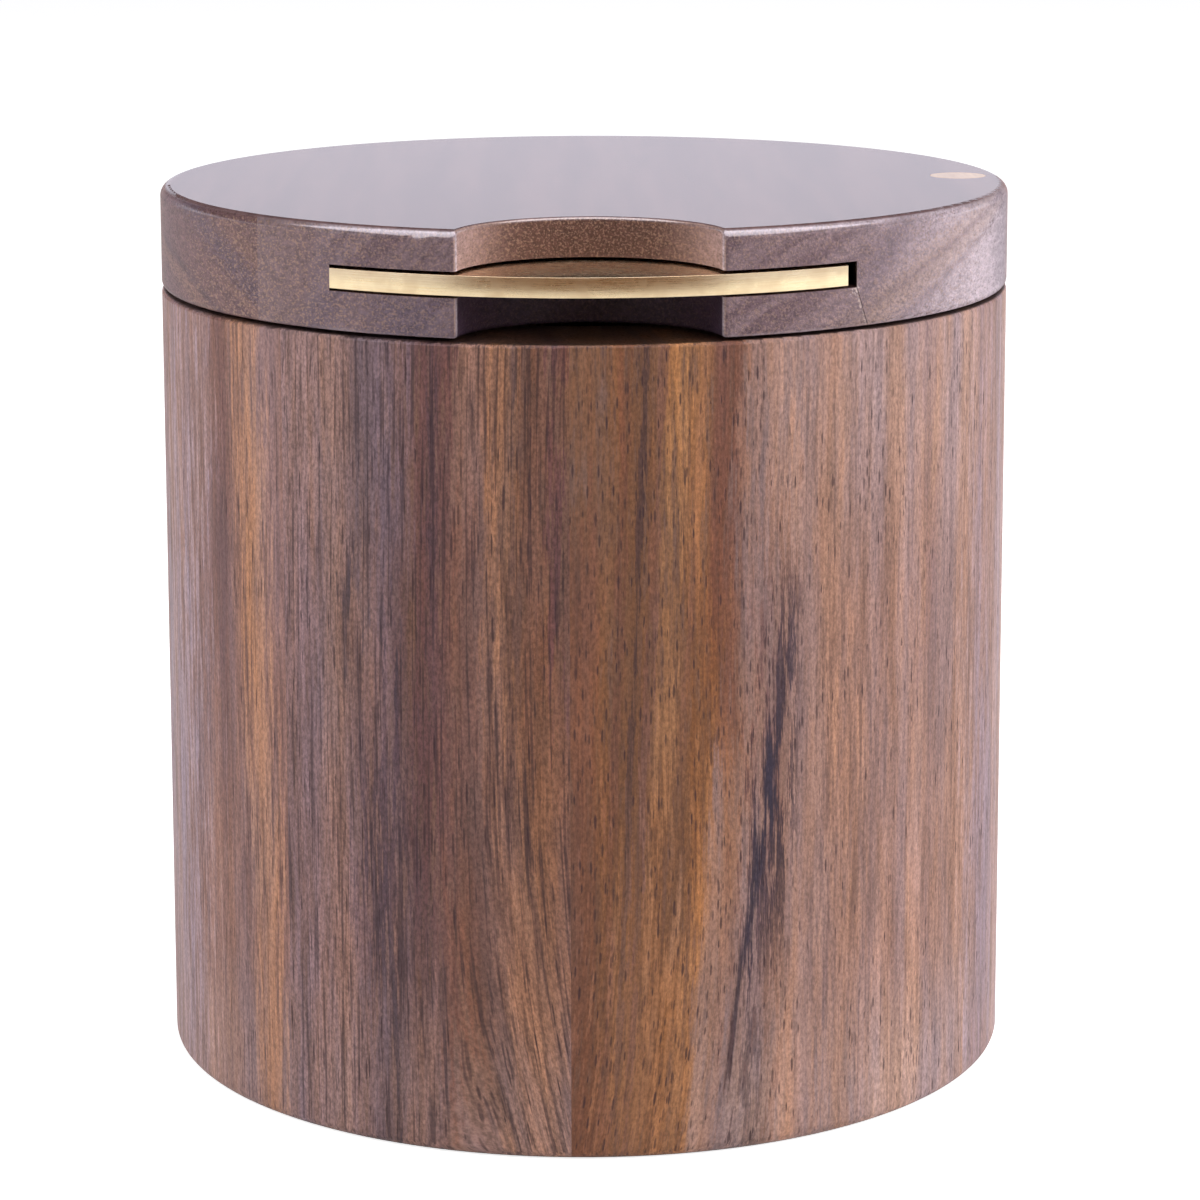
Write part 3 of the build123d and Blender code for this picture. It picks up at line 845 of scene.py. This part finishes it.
insert = section_for_turning("knurled_insert", INSERT_BORE, INSERT_BARREL, INSERT_BOTTOM, INSERT_TOP)
flange_bottom = INSERT_TOP - INSERT_FLANGE_HEIGHT
flange_reach = INSERT_FLANGE_RADIUS - INSERT_BARREL
bpy.ops.mesh.select_all(action="SELECT")
bpy.ops.mesh.bisect(plane_co=(0.0, 0.0, flange_bottom), plane_no=(0.0, 0.0, 1.0))
select_edges(insert, lambda middle, along: abs(along.z) > 0.9 and middle.z > flange_bottom
             and middle.x > PIVOT.x + INSERT_BARREL - 0.00001)
bpy.ops.mesh.extrude_region_move(TRANSFORM_OT_translate={"value": (flange_reach, 0.0, 0.0)})
bpy.ops.mesh.select_mode(type="FACE")
bpy.ops.mesh.select_all(action="SELECT")
bpy.ops.mesh.dissolve_faces()
turn_section(INSERT_STRIPS, TURNED_BEVEL)


def every_other_strip(middle, strips):
    """True for every other one of the strips round the pivot's axis, for knurling."""
    turn = math.atan2(middle.y - PIVOT.y, middle.x - PIVOT.x) / math.tau
    return round(turn * strips - 0.5) % 2 == 0


def on_barrel(middle, normal):
    """True on the insert's side, below its flange."""
    reach = math.hypot(middle.x - PIVOT.x, middle.y - PIVOT.y)
    return reach > INSERT_BARREL * 0.97 and middle.z < flange_bottom and abs(normal.z) < 0.1


select_faces(insert, lambda middle, normal: on_barrel(middle, normal)
             and every_other_strip(middle, INSERT_STRIPS))
bpy.ops.mesh.inset(thickness=KNURL_GAP, depth=-KNURL_DEPTH, use_individual=True)
finish_piece(insert, turned_brass)
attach(insert, "box")
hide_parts("threaded_insert")


# The washer: a thin nylon ring punched from sheet. It lies on the rim round the screw, and the
# lid turns on it.

WASHER_RADIUS, WASHER_BOTTOM, WASHER_TOP = round_size("spacer_washer")[1:]
WASHER_SIDES = 72
WASHER_BORE = 0.0016
WASHER_BEVEL = 0.00006
NYLON = colour(226, 222, 212)
NYLON_DULL = colour(218, 213, 202)


def nylon_sheet(name):
    """White nylon, faintly cloudy, with the marks of handling."""
    material, tree, shader = new_material(name, {"Subsurface Weight": 0.2, "Subsurface Scale": 0.0004})
    spot = node(tree, "ShaderNodeTexCoord", {}).outputs["Object"]
    cloud = scaled_noise(spot, (900.0, 900.0, 900.0), detail=3.0, roughness=0.6)
    marks = use_group(handling, {"Vector": spot})
    tone = blend(step_between(cloud, 0.35, 0.65), NYLON, NYLON_DULL)
    dress(shader, tone, times_plus(marks["Scratches"], 0.15, 0.42), cloud, 0.1, 0.00005)
    return material


washer = section_for_turning("nylon_washer", WASHER_BORE, WASHER_RADIUS, WASHER_BOTTOM, WASHER_TOP)
turn_section(WASHER_SIDES, WASHER_BEVEL)
finish_piece(washer, nylon_sheet("nylon_sheet"))
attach(washer, "box")
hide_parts("spacer_washer")


# The pivot's screw: an M3 socket head screw of stainless steel. It is driven upright into the
# insert, and its knurled head holds the lid down.

SCREW_HEAD_RADIUS, SCREW_TIP, SCREW_TOP = round_size("pivot_screw")[1:]
SCREW_HEAD_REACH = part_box("pivot_screw")[1].x - PIVOT.x
SCREW_HEAD_HEIGHT = 0.003
SCREW_HEAD_BEVEL = 0.0003
SCREW_STRIPS = 96
SCREW_KNURL_GAP = 0.00003
SCREW_KNURL_DEPTH = 0.00006
SCREW_HEAD_BOTTOM = SCREW_TOP - SCREW_HEAD_HEIGHT
SCREW_SOCKET_RADIUS = 0.00125 / math.cos(math.radians(30.0))
SCREW_SOCKET_DEPTH = 0.0013
SCREW_CORE = 0.00121
SCREW_RADIUS = 0.0015
SCREW_TIP_BEVEL = 0.0004
THREAD_PITCH = 0.0005
THREAD_TURNS = 18
THREAD_STEPS = 40
THREAD_ROOT = 0.00004
THREAD_FULLNESS = 0.9
STEEL = colour(182, 182, 184)
STEEL_DARK = colour(128, 128, 132)

screw = start_from_bar(
    "socket_screw", SCREW_STRIPS, SCREW_HEAD_RADIUS, SCREW_HEAD_BOTTOM, SCREW_TOP, PIVOT.xy)
select_faces(screw, lambda middle, normal: normal.z > 0.9)
bpy.ops.mesh.bevel(offset=SCREW_HEAD_BEVEL, segments=4, affect="EDGES")
select_faces(screw, lambda middle, normal: abs(normal.z) < 0.01
             and every_other_strip(middle, SCREW_STRIPS))
bpy.ops.mesh.inset(thickness=SCREW_KNURL_GAP, depth=-SCREW_KNURL_DEPTH, use_individual=True)
select_faces(screw, lambda middle, normal: normal.z < -0.9)
bpy.ops.mesh.inset(thickness=SCREW_HEAD_REACH - SCREW_CORE)
bpy.ops.mesh.extrude_region_move(
    TRANSFORM_OT_translate={"value": (0.0, 0.0, SCREW_TIP - SCREW_HEAD_BOTTOM)})
bpy.ops.mesh.bevel(offset=SCREW_TIP_BEVEL, segments=2, affect="EDGES")
bpy.ops.object.mode_set(mode="OBJECT")

bpy.ops.mesh.primitive_cylinder_add(
    vertices=6, radius=SCREW_SOCKET_RADIUS, depth=2 * SCREW_SOCKET_DEPTH,
    location=(PIVOT.x, PIVOT.y, SCREW_TOP))
key = bpy.context.object
bpy.context.view_layer.objects.active = screw
socket_cut = screw.modifiers.new("socket", "BOOLEAN")
socket_cut.operation = "DIFFERENCE"
socket_cut.object = key
bpy.ops.object.modifier_apply(modifier=socket_cut.name)
bpy.data.objects.remove(key)

# the thread is one triangle, swept up round the shank with its root inside it. A triangle of
# radius 1 is 1.5 wide and the square root of 3 high.
thread_depth = SCREW_RADIUS - SCREW_CORE + THREAD_ROOT
triangle_radius = thread_depth / 1.5
bpy.ops.mesh.primitive_circle_add(
    vertices=3, radius=1.0, fill_type="NOTHING", rotation=(math.pi / 2, math.pi / 2, 0.0),
    location=(PIVOT.x, PIVOT.y, SCREW_TIP + SCREW_TIP_BEVEL))
thread = bpy.context.object
bpy.ops.object.transform_apply(location=False, rotation=True, scale=True)
thread.scale = (triangle_radius, 1.0, THREAD_PITCH * THREAD_FULLNESS / math.sqrt(3.0))
bpy.ops.object.transform_apply(location=False, rotation=False, scale=True)
bpy.ops.object.mode_set(mode="EDIT")
bpy.ops.mesh.select_all(action="SELECT")
bpy.ops.transform.translate(value=(SCREW_RADIUS - triangle_radius, 0.0, 0.0))
bpy.ops.object.mode_set(mode="OBJECT")
sweep = thread.modifiers.new("sweep", "SCREW")
sweep.axis = "Z"
sweep.angle = math.tau
sweep.screw_offset = THREAD_PITCH
sweep.iterations = THREAD_TURNS
sweep.steps = THREAD_STEPS
sweep.render_steps = THREAD_STEPS
bpy.ops.object.modifier_apply(modifier=sweep.name)
bpy.ops.object.transform_apply(location=True, rotation=True, scale=True)
bpy.ops.object.mode_set(mode="EDIT")
bpy.ops.mesh.select_all(action="SELECT")
bpy.ops.mesh.fill_holes(sides=4)
bpy.ops.object.mode_set(mode="OBJECT")
screw.select_set(True)
bpy.context.view_layer.objects.active = screw
bpy.ops.object.join()
bpy.ops.object.mode_set(mode="EDIT")
finish_piece(screw, turned_metal("stainless_steel", STEEL, STEEL_DARK, 0.26), smooth_degrees=30.0)
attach(screw, "box")
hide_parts("pivot_screw")


# The magnets: two nickel-plated discs, glued flush in the rim and in the lid's underside. They
# meet when the lid is shut.

MAGNET_MIDDLE, MAGNET_RADIUS, MAGNET_BOTTOM, MAGNET_TOP = round_size("body_magnet")
LID_MAGNET_BOTTOM = round_size("lid_magnet")[2]
MAGNET_BEVEL = 0.0002
NICKEL = colour(206, 204, 198)
NICKEL_DULL = colour(160, 156, 148)

rim_magnet = start_from_bar(
    "rim_disc_magnet", ROUND_SIDES, MAGNET_RADIUS, MAGNET_BOTTOM, MAGNET_TOP, MAGNET_MIDDLE.xy)
select_faces(rim_magnet, lambda middle, normal: abs(normal.z) > 0.9)
bpy.ops.mesh.bevel(offset=MAGNET_BEVEL, segments=4, affect="EDGES")
plated = turned_metal("nickel_plate", NICKEL, NICKEL_DULL, 0.16, axis=MAGNET_MIDDLE)
finish_piece(rim_magnet, plated)
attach(rim_magnet, "box")
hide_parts("body_magnet")

bpy.ops.object.select_all(action="DESELECT")
rim_magnet.select_set(True)
bpy.context.view_layer.objects.active = rim_magnet
bpy.ops.object.duplicate()
lid_magnet = bpy.context.object
lid_magnet.name = "lid_disc_magnet"
lid_magnet.location.z = LID_MAGNET_BOTTOM - MAGNET_BOTTOM
bpy.ops.object.transform_apply(location=True, rotation=True, scale=True)
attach(lid_magnet, "lid")
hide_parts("lid_magnet")


# The studio: a camera a little above the lid, a white floor, and soft light from both sides. A dark
# flag, a bright card and a dark canopy stand where only the sheen of metal and rounded edges shows
# them.

FRAME_PIXELS = 1200.0
FOCAL_PIXELS = 4015.1
SHIFT_RIGHT_PIXELS = 15.48
SHIFT_UP_PIXELS = -200.0
SENSOR_WIDTH = 36.0
CAMERA_DISTANCE = 0.42622
CAMERA_HEIGHT = 0.14232
CAMERA_PITCH = math.radians(9.742)
CAMERA_AZIMUTH = math.radians(-0.72)
CAMERA_ROLL = -0.00259

camera = bpy.data.objects.new("camera", bpy.data.cameras.new("camera"))
bpy.context.scene.collection.objects.link(camera)
camera.data.sensor_width = SENSOR_WIDTH
camera.data.lens = FOCAL_PIXELS / FRAME_PIXELS * SENSOR_WIDTH
camera.data.shift_x = SHIFT_RIGHT_PIXELS / FRAME_PIXELS
camera.data.shift_y = SHIFT_UP_PIXELS / FRAME_PIXELS
around = Matrix.Rotation(CAMERA_AZIMUTH, 3, "Z")
camera.location = around @ Vector((0.0, -CAMERA_DISTANCE, CAMERA_HEIGHT))
camera.rotation_mode = "QUATERNION"
look = Matrix.Rotation(math.pi / 2 - CAMERA_PITCH, 3, "X") @ Matrix.Rotation(CAMERA_ROLL, 3, "Z")
camera.rotation_quaternion = (around @ look).to_quaternion()
bpy.context.scene.camera = camera

AMBIENT_TINT = (0.97, 0.97, 1.0, 1.0)
AMBIENT_STRENGTH = 0.25
MIRRORED_TINT = (1.0, 0.98, 1.12, 1.0)
WHITE = (1.0, 1.0, 1.0, 1.0)

world = bpy.data.worlds.new("studio")
world.use_nodes = True
bpy.context.scene.world = world
tree = world.node_tree
light = tree.nodes["Background"]
light.inputs["Color"].default_value = AMBIENT_TINT
light.inputs["Strength"].default_value = AMBIENT_STRENGTH
# the camera sees white, metal and glass mirror a faintly cool white, and the rest is ambient light
path = node(tree, "ShaderNodeLightPath", {}).outputs
showing = plus(plus(path["Is Camera Ray"], path["Is Glossy Ray"]), path["Is Transmission Ray"])
backdrop = blend(path["Is Camera Ray"], MIRRORED_TINT, WHITE)
seen = node(tree, "ShaderNodeBackground", {"Color": backdrop, "Strength": 1.0})
surface = node(tree, "ShaderNodeMixShader", {
    0: maths("MINIMUM", showing, 1.0), 1: light.outputs[0], 2: seen.outputs[0]})
join(surface.outputs[0], tree.nodes["World Output"].inputs["Surface"])


def even_paint(thing, constants):
    """Gives a thing of the studio one even colour, and returns its shader."""
    material, _, shader = new_material(thing.name + "_paint", constants)
    thing.data.materials.append(material)
    return shader


def add_sheet(name, size, location, constants, rotation=(0.0, 0.0, 0.0)):
    """A flat sheet of the studio in one even colour. Returns the sheet and its shader."""
    bpy.ops.mesh.primitive_plane_add(size=1.0, location=location, rotation=rotation)
    sheet = bpy.context.object
    sheet.name = name
    sheet.scale = (*size, 1.0)
    return sheet, even_paint(sheet, constants)


FLOOR_GLOW_SEEN = 0.75
FLOOR_GLOW_MIRRORED = 0.3

floor, shader = add_sheet("floor", (6.0, 6.0), (0.0, 0.0, 0.0), {
    "Base Color": (0.85, 0.85, 0.86, 1.0), "Roughness": 0.9, "Specular IOR Level": 0.0,
    "Emission Color": WHITE})
path = node(shader.id_data, "ShaderNodeLightPath", {}).outputs
mirrored = times(plus(path["Is Glossy Ray"], path["Is Transmission Ray"]), FLOOR_GLOW_MIRRORED)
glow = times_plus(path["Is Camera Ray"], FLOOR_GLOW_SEEN, mirrored)
join(glow, shader.inputs["Emission Strength"])


LIT_HEIGHT = 0.05


def softbox(name, azimuth, elevation, distance, size, power, tint):
    """An oblong lamp turned to the middle of the box. Azimuth 0 is in front, 90 to the right."""
    data = bpy.data.lights.new(name, "AREA")
    data.shape = "RECTANGLE"
    data.size, data.size_y = size
    data.energy = power
    data.color = tint
    lamp = bpy.data.objects.new(name, data)
    bpy.context.scene.collection.objects.link(lamp)
    flat = distance * math.cos(math.radians(elevation))
    middle = Vector((0.0, 0.0, LIT_HEIGHT))
    lamp.location = middle + Vector((flat * math.sin(math.radians(azimuth)),
                                     -flat * math.cos(math.radians(azimuth)),
                                     distance * math.sin(math.radians(elevation))))
    lamp.rotation_mode = "QUATERNION"
    lamp.rotation_quaternion = (middle - lamp.location).to_track_quat("-Z", "Y")
    lamp.visible_glossy = False


softbox("softbox_left", -74.0, 26.0, 0.8, (0.7, 0.52), 3.4, (1.0, 0.98, 0.97))
softbox("softbox_right", 72.0, 26.0, 0.8, (0.7, 0.52), 5.7, (1.0, 0.98, 0.97))
softbox("softbox_top", 180.0, 75.0, 0.9, (0.6, 0.6), 2.0, (0.97, 0.97, 1.0))

flag, _ = add_sheet(
    "dark_flag", (0.46, 0.28), (0.0, -0.34, 0.13),
    {"Base Color": (0.2, 0.09, 0.03, 1.0), "Roughness": 1.0}, rotation=(math.pi / 2, 0.0, 0.0))
card, _ = add_sheet("bright_card", (1.8, 0.95), (0.0, -0.33, 0.8), {
    "Base Color": (0.8, 0.8, 0.8, 1.0), "Emission Color": (1.0, 0.95, 1.05, 1.0),
    "Emission Strength": 3.2})

CANOPY_RADIUS = 1.6
CANOPY_MIDDLE = 0.1
CANOPY_BOTTOM = 0.45

bpy.ops.mesh.primitive_uv_sphere_add(
    segments=48, ring_count=24, radius=CANOPY_RADIUS, location=(0.0, 0.0, CANOPY_MIDDLE))
canopy = start_piece("dark_canopy")
bpy.ops.mesh.select_all(action="SELECT")
bpy.ops.mesh.bisect(plane_co=(0.0, 0.0, CANOPY_BOTTOM), plane_no=(0.0, 0.0, -1.0), clear_outer=True)
bpy.ops.object.mode_set(mode="OBJECT")
even_paint(canopy, {"Base Color": (0.04, 0.035, 0.035, 1.0), "Roughness": 1.0})

for shown_by_sheen in (flag, card, canopy):
    shown_by_sheen.visible_camera = False
    shown_by_sheen.visible_diffuse = False
    shown_by_sheen.visible_shadow = False
    shown_by_sheen.visible_transmission = False

bpy.context.scene.view_settings.view_transform = "Standard"
